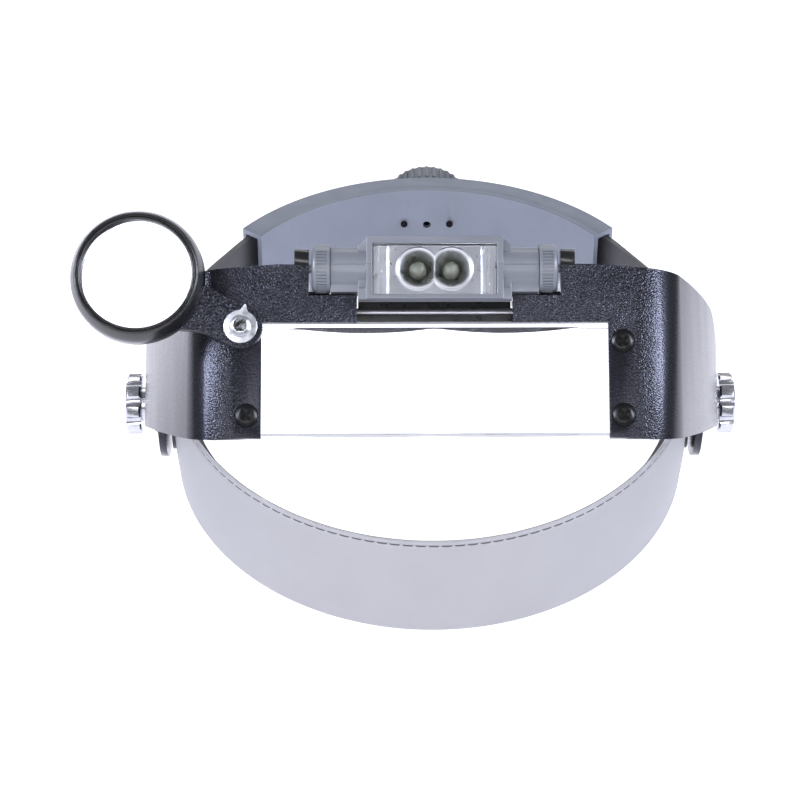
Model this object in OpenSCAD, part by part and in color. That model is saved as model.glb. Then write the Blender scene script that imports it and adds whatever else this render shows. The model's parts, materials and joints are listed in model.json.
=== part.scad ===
// Lighted headband magnifier, in millimetres.
// +X is the viewer's right when facing the lenses, +Y points to the back of the head, +Z is up.
// The origin lies on the surface that the headband stands on, midway between the temple pivots.

/* [Forehead band] */
// Half width of the stiff band strip, measured at the temples
band_half_w = 80; // [76:1:84]
// How far the strip reaches forward of the temple pivots
band_reach = 87.2; // [84:0.1:88]
// Height of the forehead band
band_h = 35; // [34.6:0.2:38]
// Thickness of the stiff strip inside the padding
strip_t = 1.2; // [0.8:0.1:1.6]
// Thickness of the outer cover at its edges
cover_t = 1.5; // [1.3:0.1:2]
// How far the outer cover swells in its middle
cover_crown = 0.9; // [0.3:0.1:1.4]
// Thickness of the sweat foam at its edges
foam_t = 2; // [1.5:0.1:3]
// How far the foam swells in its middle
foam_crown = 0.8; // [0.3:0.1:1.5]

/* [Temple pivots] */
// Thickness of the temple plates
plate_t = 2.7; // [2:0.1:3.4]
// Height of the temple plates and of the size straps
strap_h = 30; // [24:0.5:30.5]
// Diameter of the pivot bolts
bolt_d = 5; // [4:0.5:6]
// Thickness of the friction washers
washer_t = 1; // [0.6:0.1:1.6]
// Outer diameter of the friction washers
washer_d = 16; // [12:0.5:20]
// Diameter of the knobs' fluted wheels
knob_d = 19.5; // [16:0.5:24]
// Thickness of the knobs' fluted wheels
knob_t = 4.8; // [3.5:0.1:7]
// Diameter of the knobs' collars
collar_d = 11; // [9:0.5:13]
// Length of the knobs' collars
collar_l = 5; // [4:0.5:8]
// Number of flutes round each wheel
knob_flutes = 9; // [6:1:14]

/* [Size adjuster] */
// Y position of the flex lines where the straps leave the temple plates
flex_y = 27.5; // [24:0.5:30]
// Radius of the straps' arc inside the rear housing
strap_r = 76.8; // [74:0.2:80]
// Thickness of the straps
strap_t = 1.8; // [1.4:0.1:2.2]
// Half angle that the rear housing covers
housing_half = 53; // [48:1:54]
// Height of the rear housing
housing_h = 35; // [33:0.5:37]
// Wall of the housing covers
housing_wall = 1.8; // [1.2:0.1:2.4]
// Depth of the channel between the two covers
channel_w = 5.2; // [5:0.1:6.5]
// Height of the adjuster axis above the temple pivots
adjuster_up = 3; // [0:0.5:4]
// Gear module of the pinion and racks
gear_m = 1; // [0.8:0.1:1.1]
// Number of teeth on the pinion
pinion_teeth = 10; // [9:1:11]
// Radius of the adjuster knob
adjuster_r = 14.9; // [11:0.1:16]
// Thickness of the adjuster knob
adjuster_t = 8; // [5:0.5:12]

/* [Visor] */
// Tilt of the visor above level, as it stands in storage
visor_tilt = 48; // [30:1:60]
// Distance from the pivots to the visor's front face
visor_depth = 106; // [104:0.5:112]
// Wall thickness of the visor shell
visor_wall = 2.3; // [2:0.1:2.8]
// Width of the frame on each side of the window
frame_w = 22.2; // [20:0.1:24]
// Half width of the visor at its widest, just ahead of the ears
flare_half_w = 89.6; // [88:0.2:92]
// Angle by which the side walls bow outwards at their ends
wall_bow = 6.5; // [0:0.5:8]
// Plan radius of the visor's front corners
corner_r = 14; // [10:0.5:16]
// Top edge of the front above the pivot axis
front_top = 21.8; // [21:0.2:24]
// Top edge of the side walls above the pivot axis
side_top = 20; // [18:0.2:21]
// Bottom edge of the front below the pivot axis
front_drop = 28.6; // [28:0.2:32]
// Radius of the ears that sit on the pivots
ear_r = 17; // [14:0.5:17]
// Width of the window that the lenses fill
window_w = 99; // [96:0.5:102]
// Top edge of the window above the pivot axis
window_top = 4.8; // [4:0.2:5.4]

/* [Lenses] */
// Radius of the curved face of the fixed lenses
main_lens_r = 100; // [90:5:120]
// How far the fixed lenses swell out of their plate
main_swell = 3.6; // [2.6:0.1:3.8]
// Radius of the curved face of the flip lenses
flip_lens_r = 160; // [150:5:200]
// How far the flip lenses swell out of their plate
flip_swell = 2.2; // [1.6:0.1:2.4]
// How far the crowns stay below the lenses' top edges
crown_inset = 1.2; // [0.4:0.1:2]
// Distance of each optical centre from the middle
optic_x = 20; // [16:0.5:25]
// Thickness of the lens rims
lens_rim = 2.3; // [2:0.1:2.6]
// Distance of the lens screws from the window's sides
screw_inset = 4.1; // [3.8:0.1:5]
// Diameter of the lens screws
screw_d = 2.6; // [2:0.1:3]
// Diameter of the flip lens axle
axle_d = 1.4; // [1.2:0.1:1.8]

/* [Loupe] */
// Distance from the loupe's pivot screw to its lens centre
loupe_reach = 32.6; // [32:0.2:38]
// Angle of the loupe arm above the viewer's right, as stored
loupe_angle = 154; // [140:1:165]
// Outer radius of the loupe ring
loupe_r = 19.1; // [18.8:0.1:20]
// Clear radius of the loupe lens
loupe_clear_r = 15.75; // [14:0.05:15.9]
// Depth of the loupe ring
loupe_depth = 9.6; // [9:0.1:11]
// Width of the loupe arm
loupe_arm_w = 12.4; // [11:0.2:14]
// Thickness of the loupe arm
loupe_arm_t = 3.3; // [2.6:0.1:4]

/* [Lamp] */
// Height of the lamp axis above the pivot axis, in the visor
lamp_up = 21; // [20.8:0.1:22]
// Half width of the lamp body
lamp_half_w = 21.9; // [20:0.1:22]
// Half length of the lamp to the ends of its round stubs
stub_half_l = 29.8; // [29:0.1:30.4]
// Radius of the round stubs
stub_r = 6.1; // [5.8:0.1:6.3]
// Length of the ribbed end caps
cap_l = 5.4; // [5:0.1:6]
// Radius of the ribbed end caps
cap_r = 6.95; // [6.7:0.05:7.1]
// Diameter of the cap pins that carry the lamp
pin_d = 2.4; // [2:0.1:2.6]
// Diameter of the button cells
cell_d = 7.9; // [6.8:0.1:7.9]
// Thickness of one button cell
cell_t = 5.2; // [4:0.1:5.3]
// Diameter of the light-emitting diodes
led_d = 5; // [3:0.5:5]
// Distance between the two diodes
led_pitch = 9.5; // [9:0.1:10]
// Radius of the reflector cups at their mouths
cup_r = 5; // [4:0.1:5.05]

/* [Clearances] */
// Gap between faces that slide on each other
face_gap = 0.1; // [0.05:0.01:0.15]
// Radial running clearance of pins in their bores
run_gap = 0.05; // [0.02:0.01:0.1]
// Gap that keeps passing pieces clear of each other
pass_gap = 0.3; // [0.2:0.05:0.4]

/* [Hidden] */
$fn = 64;
eps = 0.01;

// colours, as photographed
grey_pad = [0.80, 0.80, 0.84];
grey_foam = [0.30, 0.30, 0.32];
strap_grey = [0.36, 0.36, 0.38];
housing_grey = [0.53, 0.56, 0.62];
lamp_grey = [0.66, 0.68, 0.73];
visor_black = [0.10, 0.10, 0.11];
silver = [0.78, 0.78, 0.80];
chrome = [0.86, 0.87, 0.88];
clear = [0.88, 0.93, 0.96, 0.35];

// the pivots sit at the middle of the band's height
pivot_z = band_h / 2;
strap_z = pivot_z - strap_h / 2;

// layers of a temple, outwards from the strip
plate_x = band_half_w + strip_t / 2 + pass_gap;
washer_x = plate_x + plate_t;
ear_x = washer_x + washer_t + face_gap;
ear_out = ear_x + visor_wall;
knob_washer_x = ear_out + face_gap;
collar_x = knob_washer_x + washer_t + face_gap;
wheel_x = collar_x + collar_l;
plate_nose = -8.5;
bolt_head_t = 1.6;
bolt_head_d = bolt_d + 4;
flute_turn = 8;

// forehead padding: base curve of the cover's inner face, and where the padding ends
pad_end = 84;
pad_steps = 42;
pad_a = band_half_w + strip_t / 2 + eps * 5;
pad_b = band_reach + strip_t / 2 + eps * 5;
strip_edge = 3;
foam_edge = 6;
bead = 1.9;

// rear housing, about a vertical axis at flex_y
flex_x = plate_x + plate_t / 2;
knuckle_r = 1.9;
strap_arc_end = housing_half + 6;
strap_out = strap_r + strap_t / 2;
housing_in = strap_out + 2 * pass_gap;
rear_skin = 1.2;
housing_out = housing_in + rear_skin;
inner_out = housing_in - channel_w;
inner_in = inner_out - housing_wall;
housing_z = (band_h - housing_h) / 2;
adjuster_z = pivot_z + adjuster_up;

// pinion and racks
pitch_r = gear_m * pinion_teeth / 2;
tooth_add = gear_m;
tooth_ded = 1.25 * gear_m;
tooth_pitch = PI * gear_m;
tooth_slack = 0.8 * gear_m;
tooth_step = tooth_pitch / strap_r * 180 / PI;
rack_tail = 18;
rack_full = 30;
pinion_t = 2;
shaft_d = 5;
knob_gap = 3 * face_gap;
screw_spread = 8;
screw_rise = 1;
boss_r = 1.7;
cover_screw_d = 1.6;

// visor plan
front_in = visor_depth - visor_wall;
front_half_w = window_w / 2 + frame_w;
flare_f = 30;
wall_ang = atan((flare_half_w - front_half_w) / (visor_depth - 10 - flare_f));
corner_f = visor_depth - corner_r;
corner_ang = wall_ang + wall_bow;
flare_ang = wall_ang - wall_bow;
corner_end_f = corner_f + corner_r * sin(corner_ang);
corner_end_x = flare_half_w - (corner_end_f - flare_f) * tan(wall_ang);
corner_x = corner_end_x - corner_r * cos(corner_ang);
bow_l = (corner_end_f - flare_f) / cos(wall_ang) / 3;
recess_half = stub_half_l + cap_l + 0.9;
lug_t = 4.1;
notch_half = lamp_half_w + pass_gap + 0.1;
lamp_f = visor_depth - 2.5;
lamp_swing = 8.1;
recess_bottom = lamp_up - lamp_swing - 0.2;

// lens stack, from the visor's front wall backwards
lens_f = front_in - face_gap;
rim_f = lens_f - lens_rim;
clamp_t = 2.8;
clamp_f = rim_f - face_gap - clamp_t;
clamp_x = window_w / 2 + 1.3;
screw_x = window_w / 2 + screw_inset;
lens_half = screw_x + 4.8;
lens_top = window_top + 0.6;
lens_low = -front_drop + 1.3;
optic_u = (window_top + lens_low) / 2;
upper_screw_u = -0.7;
lower_screw_u = -22.1;
lens_screws_at = [[screw_x, upper_screw_u], [screw_x, lower_screw_u], [-screw_x, lower_screw_u]];
head_d = 6.4;
head_sunk = 1;
bar_low = lens_top + 0.2;
bar_top = lamp_up - 10.9;
bar_back = front_in - 5.1;
axle_f = rim_f - 1;
axle_u = 8.75;
bar_step = axle_u - axle_d / 2 - 0.75;

// flip lens, behind the fixed one
flip_front = lens_f - lens_rim - main_swell - 0.5;
flip_rim = 1.6;
crown_slope = 0.45;
flip_top = bar_low - 1;
flip_low = lens_low + 1.5;
flip_arm_x = lens_half + 0.8;
flip_arm_t = 2.4;
flip_half = flip_arm_x - face_gap;
flip_hub_r = 2;

// loupe
loupe_x = -window_w / 2 - 5.7;
loupe_u = 2.7;
loupe_screw_d = 3;
spacer_t = 0.8;
loupe_f = visor_depth + spacer_t + face_gap;
loupe_lens_r = loupe_r - 2.6;
loupe_ball = 60;
loupe_lens_f = loupe_f + loupe_depth - 4.5;
loupe_edge = 1;
loupe_rise = sqrt(loupe_ball * loupe_ball - loupe_clear_r * loupe_clear_r)
  - sqrt(loupe_ball * loupe_ball - loupe_lens_r * loupe_lens_r);
loupe_seat = loupe_edge + loupe_rise + face_gap;
arm_top = loupe_f + loupe_arm_t;
prong_t = 0.6;
nut_t = 2;
nut_d = 5.6;

// lamp, in its own frame: a is forward of its axis, b is above it
bezel_half = 19.5;
bezel_front = 7;
box_back = -6.6;
box_top = 8;
box_low = -10.2;
lip_back = 2.4;
win_half = 17.8;
win_top = 6.1;
win_low = -8.95;
floor_low = -6.4;
win_t = 1.4;
board_half = win_half - 2.8;
mirror_half = 13.2;
mirror_back = lip_back + 1;
cup_wall = 0.9;
optic_b = -0.9;
skirt_l = cap_l - 2.4;
spigot_r = 5.2;
tube_r = cell_d / 2 + 0.2;
cap_floor = 1.8;

function rev(l) = [for (i = [len(l) - 1 : -1 : 0]) l[i]];
function flip_x(l) = [for (p = l) [-p[0], p[1]]];
function to_y(l) = [for (p = l) [p[0], -p[1]]];
function bez(p, t) = pow(1 - t, 3) * p[0] + 3 * t * pow(1 - t, 2) * p[1]
  + 3 * t * t * (1 - t) * p[2] + pow(t, 3) * p[3];
function beside(path, d) = [for (i = [0 : len(path) - 1])
  let (a = path[max(i - 1, 0)], b = path[min(i + 1, len(path) - 1)], v = (b - a) / norm(b - a))
  path[i] + d * [v[1], -v[0]]];

// a point of an ellipse, counted from straight ahead, and its outward direction
function on_ellipse(a, b, t) = [a * sin(t), -b * cos(t)];
function ellipse_out(a, b, t) = let (n = [sin(t) / a, -cos(t) / b]) n / norm(n);

// a closed solid: one profile of [outward, height] points carried along the forehead curve
module forehead_sweep(profile) {
  n = len(profile);
  points = [for (i = [0 : pad_steps]) let (t = pad_end * (2 * i / pad_steps - 1),
    base = on_ellipse(pad_a, pad_b, t), out = ellipse_out(pad_a, pad_b, t))
    for (p = profile) [base[0] + out[0] * p[0], base[1] + out[1] * p[0], p[1]]];
  sides = [for (i = [0 : pad_steps - 1], j = [0 : n - 1]) let (a = i * n + j, b = i * n + (j + 1) % n)
    each [[a, a + n, b + n], [a, b + n, b]]];
  ends = [[for (j = [0 : n - 1]) j], [for (j = [n - 1 : -1 : 0]) pad_steps * n + j]];
  polyhedron(points, concat(sides, ends), convexity = 6);
}

// crowned outer cover with a piping bead along both edges
module forehead_cover() {
  h = band_h;
  swell = [for (i = [0 : 8]) let (s = 1 - i / 4)
    [cover_t + cover_crown * (1 - s * s), h / 2 + s * (h / 2 - 2.6)]];
  profile = concat([[0, 0.5], [0, h - 0.5], [0.4, h], [1.3, h], [bead, h - 0.6], [bead, h - 1.3],
    [cover_t - 0.1, h - bead]], swell,
    [[cover_t - 0.1, bead], [bead, 1.3], [bead, 0.6], [1.3, 0], [0.4, 0]]);
  color(grey_pad) forehead_sweep(profile);
}

// sweat foam on the strip's inner face
module forehead_foam() {
  h = band_h;
  front = strip_t + 2 * face_gap + eps * 5;
  back = front + foam_t;
  swell = [for (i = [0 : 8]) let (s = i / 4 - 1)
    [-back - foam_crown * (1 - s * s), h / 2 + s * (h / 2 - foam_edge - 0.9)]];
  profile = concat(swell, [[-back + 0.8, h - foam_edge], [-front, h - foam_edge],
    [-front, foam_edge], [-back + 0.8, foam_edge]]);
  color(grey_foam) forehead_sweep(profile);
}

// stiff strip that runs from temple to temple inside the padding
module band_strip() {
  far = 95;
  steps = 48;
  angles = [for (i = [0 : steps]) far * (2 * i / steps - 1)];
  half = strip_t / 2;
  outer = [for (t = angles) on_ellipse(band_half_w + half, band_reach + half, t)];
  inner = [for (t = angles) on_ellipse(band_half_w - half, band_reach - half, t)];
  color(strap_grey) difference() {
    translate([0, 0, strip_edge]) linear_extrude(band_h - 2 * strip_edge) polygon(concat(outer, rev(inner)));
    bolt_hole(-plate_x - 5, bolt_d / 2 + run_gap, 2 * plate_x + 10);
  }
}

// a hole or rod along X on the pivot axis
module bolt_hole(x, r, l = 10) {
  translate([x, 0, pivot_z]) rotate([0, 90, 0]) cylinder(r = r, h = l);
}

// pieces at the right temple, drawn once and mirrored for the left
module temple_plate() {
  color(strap_grey) difference() {
    union() {
      translate([plate_x, plate_nose + 6, strap_z])
        cube([plate_t, flex_y - plate_nose - 6.5, strap_h]);
      translate([plate_x, plate_nose, strap_z + 6]) cube([plate_t, 10, strap_h - 12]);
      for (z = [strap_z + 6, strap_z + strap_h - 6])
        translate([plate_x, plate_nose + 6, z]) rotate([0, 90, 0]) cylinder(r = 6, h = plate_t);
    }
    translate([flex_x, flex_y, strap_z - 1]) cylinder(r = knuckle_r + 0.15, h = strap_h + 2);
    bolt_hole(plate_x - 1, bolt_d / 2 + run_gap);
  }
}

// round-headed bolt, its head inside the band
module pivot_bolt() {
  head_x = band_half_w - strip_t / 2 - 0.9 - face_gap;
  color(silver) {
    bolt_hole(head_x, bolt_d / 2, wheel_x + knob_t - 1.2 - head_x);
    translate([head_x, 0, pivot_z]) rotate([0, -90, 0]) cylinder(r1 = bolt_head_d / 2, r2 = bolt_d / 2, h = bolt_head_t);
  }
}

module washer_ring(x, d, c) {
  color(c) difference() {
    bolt_hole(x, d / 2, washer_t);
    bolt_hole(x - 1, bolt_d / 2 + run_gap, washer_t + 2);
  }
}

// silver knob: a collar and a fluted wheel on the bolt's end
module temple_knob() {
  flute_r = knob_d / 2 + 1.1;
  color(silver) difference() {
    union() {
      bolt_hole(collar_x, collar_d / 2, collar_l + 1);
      bolt_hole(wheel_x + 0.6, knob_d / 2, knob_t - 1.2);
      for (side = [0, 1])
        translate([wheel_x + side * (knob_t - 0.6), 0, pivot_z]) rotate([0, 90, 0])
          cylinder(r1 = knob_d / 2 - 0.6 * (1 - side), r2 = knob_d / 2 - 0.6 * side, h = 0.6);
    }
    bolt_hole(collar_x - 1, bolt_d / 2 + run_gap, wheel_x + knob_t - 1 - collar_x + 1);
    for (i = [0 : knob_flutes - 1])
      translate([wheel_x - 1, 0, pivot_z]) rotate([360 * i / knob_flutes + flute_turn, 0, 0])
        translate([0, 0, flute_r]) rotate([0, 90, 0]) cylinder(r = 2.1, h = knob_t + 2, $fn = 24);
  }
}

// sector of a ring about the housing's vertical axis; angles count from straight back towards +X
module arc_bar(r0, r1, z0, z1, from, to) {
  translate([0, flex_y, 0]) rotate([0, 0, 90 - to]) rotate_extrude(angle = to - from, $fn = 180)
    translate([r0, z0]) square([r1 - r0, z1 - z0]);
}

// one rack tooth on a strap, at an angle from straight back; up is 1 for teeth that point up
module rack_tooth(angle, up) {
  root = tooth_pitch / 2 - tooth_slack / 2 + tooth_ded * 0.36;
  tip = root - 2 * (tooth_add + tooth_ded) * 0.36;
  z = adjuster_z - up * (pitch_r + tooth_ded);
  translate([0, flex_y, z]) rotate([0, 0, -angle]) translate([0, strap_r + strap_t / 2 - 0.15, 0])
    rotate([90, 0, 0]) linear_extrude(strap_t - 0.3)
      polygon([[-root / 2, -up], [root / 2, -up], [root / 2, 0],
        [tip / 2, up * (tooth_add + tooth_ded)], [-tip / 2, up * (tooth_add + tooth_ded)], [-root / 2, 0]]);
}

// size strap on the right: up is 1 for the rack under the pinion, -1 for the rack over it
module size_strap(up) {
  start = strap_r * [sin(strap_arc_end), cos(strap_arc_end)] + [0, flex_y];
  ctrl = [[flex_x, flex_y], [flex_x, flex_y + 16],
    start + 12 * [cos(strap_arc_end), -sin(strap_arc_end)], start];
  arc_steps = 36;
  path = concat([for (i = [0 : 16]) bez(ctrl, i / 16)],
    [for (i = [1 : arc_steps]) let (a = strap_arc_end - (strap_arc_end + rack_tail) * i / arc_steps)
      strap_r * [sin(a), cos(a)] + [0, flex_y]]);
  bar_edge = adjuster_z - up * (pitch_r + tooth_ded);
  color(strap_grey) {
    difference() {
      translate([0, 0, strap_z]) linear_extrude(strap_h)
        polygon(concat(beside(path, strap_t / 2), rev(beside(path, -strap_t / 2))));
      // only the rack bar goes on towards the far side
      translate([-band_half_w, flex_y + strap_r / 2, up > 0 ? bar_edge : bar_edge - 2 * strap_h])
        cube([band_half_w + strap_r * sin(rack_full), 2 * strap_r, 2 * strap_h]);
    }
    translate([flex_x, flex_y, strap_z]) cylinder(r = knuckle_r, h = strap_h);
    for (i = [-4 : 3]) rack_tooth((i + 0.5) * tooth_step, up);
  }
}

// curved plate that faces the head, with three small holes
module rear_inner_cover() {
  color(housing_grey) difference() {
    arc_bar(inner_in, inner_out, housing_z, housing_z + housing_h, -housing_half, housing_half);
    for (x = [-screw_spread, 0, screw_spread])
      translate([x, flex_y, adjuster_z + (x == 0 ? 0 : screw_rise)]) rotate([-90, 0, 0])
        cylinder(r = x == 0 ? 1.4 : cover_screw_d / 2 + run_gap, h = housing_in, $fn = 32);
  }
}

// channel-shaped outer cover with the bore for the adjuster shaft and two screw bosses
module rear_outer_cover() {
  z1 = housing_z + housing_h;
  color(housing_grey) difference() {
    union() {
      arc_bar(housing_in, housing_out, housing_z, z1, -housing_half, housing_half);
      for (z = [housing_z, z1 - housing_wall])
        arc_bar(inner_out, housing_in + eps, z, z + housing_wall, -housing_half, housing_half);
      for (x = [-screw_spread, screw_spread])
        translate([x, flex_y + inner_out - 0.4, adjuster_z + screw_rise]) rotate([-90, 0, 0])
          cylinder(r = boss_r, h = housing_in - inner_out, $fn = 32);
    }
    for (x = [-screw_spread, screw_spread])
      translate([x, flex_y + inner_out - 2, adjuster_z + screw_rise]) rotate([-90, 0, 0])
        cylinder(r = cover_screw_d / 2 + run_gap, h = 6, $fn = 32);
    arc_bar(inner_in, inner_out, housing_z - 1, z1 + 1, -housing_half - 1, housing_half + 1);
    translate([0, flex_y, adjuster_z]) rotate([-90, 0, 0]) cylinder(r = shaft_d / 2 + run_gap, h = housing_out + 5);
  }
}

// small screws that hold the two covers together
module cover_screws() {
  y = flex_y + inner_in - 1.1;
  color(strap_grey) for (x = [-screw_spread, screw_spread]) {
    translate([x, y + 0.2, adjuster_z + screw_rise]) rotate([-90, 0, 0]) cylinder(r = cover_screw_d / 2, h = 5.6, $fn = 32);
    translate([x, y - 0.4, adjuster_z + screw_rise]) rotate([-90, 0, 0]) cylinder(r = 1.2, h = 0.8, $fn = 32);
  }
}

// pinion teeth have straight flanks, like the racks
module pinion() {
  y = flex_y + strap_r - pinion_t / 2 - 0.1;
  root_r = pitch_r - tooth_ded;
  half = tooth_pitch / 4 - tooth_slack / 4;
  flank = [[-half - 0.45, root_r], [-half * 1.05, pitch_r], [-half * 0.55, pitch_r + tooth_add]];
  tooth = concat(flank, rev(flip_x(flank)));
  outline = [for (i = [0 : pinion_teeth - 1], p = tooth) let (a = 360 * i / pinion_teeth)
    [p[0] * cos(a) + p[1] * sin(a), p[1] * cos(a) - p[0] * sin(a)]];
  color(visor_black) difference() {
    union() {
      translate([0, y + pinion_t, adjuster_z]) rotate([90, 0, 0]) linear_extrude(pinion_t) polygon(outline);
      translate([0, y + 0.5, adjuster_z]) rotate([-90, 0, 0])
        cylinder(r = shaft_d / 2, h = flex_y + housing_out + knob_gap + 2.5 - y);
    }
    translate([0, y - 1, adjuster_z]) rotate([-90, 0, 0]) cylinder(r = 1 + run_gap, h = 20, $fn = 32);
  }
}

// knurled knob on the back of the head
module adjuster_knob() {
  y = flex_y + housing_out + knob_gap;
  ribs = 36;
  color(housing_grey) difference() {
    union() {
      translate([0, y, adjuster_z]) rotate([-90, 0, 0]) cylinder(r = adjuster_r - 0.6, h = adjuster_t - 1);
      translate([0, y + adjuster_t - 1, adjuster_z]) rotate([-90, 0, 0]) cylinder(r1 = adjuster_r - 0.6, r2 = adjuster_r - 1.8, h = 1);
      for (i = [0 : ribs - 1])
        translate([0, y + 0.5, adjuster_z]) rotate([0, 360 * i / ribs, 0]) translate([adjuster_r - 1.2, 0, -0.55])
          cube([1.2, adjuster_t - 2, 1.1]);
    }
    translate([0, y - 1, adjuster_z]) rotate([-90, 0, 0]) cylinder(r = shaft_d / 2 + run_gap, h = 4.2);
    translate([0, y, adjuster_z]) rotate([-90, 0, 0]) cylinder(r = 1 + run_gap, h = adjuster_t - 2, $fn = 32);
    translate([0, y + adjuster_t - 1.2, adjuster_z]) rotate([-90, 0, 0]) cylinder(r = adjuster_r - 4, h = 2);
  }
}

// screw that ties the pinion to the knob, its head behind the middle hole
module knob_screw() {
  y = flex_y + strap_r - pinion_t / 2 - 0.1;
  color(silver) {
    translate([0, y - 1.4, adjuster_z]) rotate([-90, 0, 0]) cylinder(r = 1.8, h = 1.4, $fn = 32);
    translate([0, y - 0.5, adjuster_z]) rotate([-90, 0, 0]) cylinder(r = 1, h = 10.5, $fn = 32);
  }
}

// the visor's own frame: x across, f forward of the pivots, u above them
module visor_frame() {
  translate([0, 0, pivot_z]) rotate([-visor_tilt, 0, 0]) children();
}
module block(x0, x1, f0, f1, u0, u1) {
  translate([x0, -f1, u0]) cube([x1 - x0, f1 - f0, u1 - u0]);
}
module rod_x(r, x0, x1, f, u) {
  translate([x0, -f, u]) rotate([0, 90, 0]) cylinder(r = r, h = x1 - x0);
}
module rod_f(r, x, u, f0, f1) {
  translate([x, -f1, u]) rotate([-90, 0, 0]) cylinder(r = r, h = f1 - f0);
}
// a side view outline of [f, u] points, carried from x0 to x1
module side_plate(points, x0, x1) {
  translate([x0, 0, 0]) rotate([90, 0, 90]) linear_extrude(x1 - x0) polygon([for (p = points) [-p[0], p[1]]]);
}

// right half of the visor's outer plan line, from the middle of the front to the ear's end
corner_steps = 12;
wall_line = concat([[0, visor_depth]],
  [for (i = [0 : corner_steps]) let (a = 90 - (90 - corner_ang) * i / corner_steps)
    [corner_x + corner_r * cos(a), corner_f + corner_r * sin(a)]],
  [for (i = [1 : 9]) bez([[corner_end_x, corner_end_f],
    [corner_end_x, corner_end_f] + bow_l * [sin(corner_ang), -cos(corner_ang)],
    [flare_half_w, flare_f] - bow_l * [sin(flare_ang), -cos(flare_ang)], [flare_half_w, flare_f]], i / 10)],
  [for (i = [0 : 10]) bez([[flare_half_w, flare_f],
    [flare_half_w + 7 * sin(flare_ang), flare_f - 7 * cos(flare_ang)], [ear_out, 19], [ear_out, 10]], i / 10)],
  [[ear_out, -ear_r - 1]]);
wall_inner = beside(wall_line, visor_wall);

module visor_walls() {
  linear_extrude(120, center = true)
    polygon(to_y(concat(rev(flip_x(wall_line)), wall_line, rev(wall_inner), flip_x(wall_inner))));
}

// side view of the shell: deep at the front, narrow just ahead of the round ears
module visor_side() {
  top = [[visor_depth + 1, front_top + 0.3], [visor_depth - 5, front_top - 1.2], [visor_depth - 14, side_top + 0.2],
    [flare_f + 30, side_top + 0.3], [flare_f + 20, side_top + 0.2], [flare_f + 13, side_top - 1.1],
    [flare_f + 7, side_top - 3], [flare_f + 1, side_top - 5.2], [flare_f - 8, 13.4], [8, 12.5]];
  low = [[8, -12], [flare_f - 6, -11], [flare_f + 20, -front_drop + 12.2], [visor_depth + 1, -front_drop - 0.9]];
  side_plate(concat(top, low), -120, 120);
  rod_x(ear_r, -120, 120, 0, 0);
}

// face view of the shell: both edges fall towards the corners
module visor_face() {
  w = flare_half_w + 10;
  half = [[recess_half + lug_t, front_top + 0.4], [front_half_w - 10, front_top - 1.2],
    [front_half_w, front_top - 1.8], [w, front_top - 1.5], [w, -front_drop - 2],
    [front_half_w - 3, -front_drop - 0.9], [window_w / 2 + 4, -front_drop]];
  translate([0, 60, 0]) rotate([90, 0, 0]) linear_extrude(60 + 2 * visor_depth)
    polygon(concat(rev(flip_x(half)), half));
}

// trough behind the front wall, under each end of the lamp
module lamp_trough() {
  back = lamp_f - 6.4;
  for (s = [0, 1]) mirror([s, 0, 0]) {
    block(notch_half, recess_half + lug_t, back, front_in + eps, recess_bottom - 1.5, recess_bottom);
    block(notch_half, recess_half + lug_t, back, back + 1, recess_bottom - 1.5, lamp_up - 6.2);
    block(stub_half_l + 0.4, recess_half + lug_t, back, back + 1, recess_bottom - 1.5, lamp_up - 5.5);
  }
}

module visor_shell() {
  color(visor_black) visor_frame() {
    lamp_trough();
    difference() {
    union() {
      intersection() {
        visor_walls();
        visor_side();
        visor_face();
      }
      // top lip that stiffens the front
      intersection() {
        translate([0, 0, front_top - 5.4]) linear_extrude(visor_wall)
          polygon(to_y(concat(rev(flip_x(wall_line)), wall_line)));
        block(-flare_half_w, flare_half_w, visor_depth - 12, visor_depth, 0, 40);
        visor_face();
      }
      // lugs that carry the lamp
      for (s = [-1, 1]) {
        x0 = s > 0 ? recess_half : -recess_half - lug_t;
        block(x0, x0 + lug_t, lamp_f - 3.2, visor_depth, recess_bottom - 2, lamp_up + 2.5);
        rod_x(3.2, x0, x0 + lug_t, lamp_f, lamp_up + 2.5);
      }
    }
    block(-window_w / 2, window_w / 2, front_in - 4, visor_depth + 4, -front_drop - 4, window_top);
    block(-recess_half, recess_half, visor_depth - 20, visor_depth + 4, recess_bottom, front_top + 20);
    block(-notch_half, notch_half, front_in - 4, visor_depth + 4, window_top - 1, front_top + 20);
    for (p = lens_screws_at) {
      rod_f(screw_d / 2 + run_gap, p[0], p[1], front_in - 4, visor_depth + 4);
      rod_f(head_d / 2 + 0.25, p[0], p[1], visor_depth - head_sunk, visor_depth + 4);
    }
    rod_f(loupe_screw_d / 2 + run_gap, loupe_x, loupe_u, front_in - 4, visor_depth + 4);
    rod_x(pin_d / 2 + run_gap, -60, 60, lamp_f, lamp_up);
    rod_x(bolt_d / 2 + run_gap, -100, 100, 0, 0);
    }
  }
}

// bar behind the visor's notch: carries the lens's top edge and the flip axle
module lens_crossbar() {
  end = lens_half - 0.4;
  color(visor_black) visor_frame() difference() {
    union() {
      block(-end, end, bar_back, lens_f, bar_low, bar_step);
      block(-end, end, bar_back, axle_f, bar_step - 0.1, bar_top);
      // crest that closes the gap under the lamp
      block(-notch_half + 0.3, notch_half - 0.3, bar_back - 1.7, bar_back + eps, bar_step, lamp_up - 8.6);
      for (x = [-end, notch_half + 0.6]) block(x, x + end - notch_half - 0.6, bar_back, lens_f, bar_low, bar_top);
    }
    rod_x(axle_d / 2 + run_gap, -end - 1, end + 1, axle_f, axle_u);
  }
}

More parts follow.
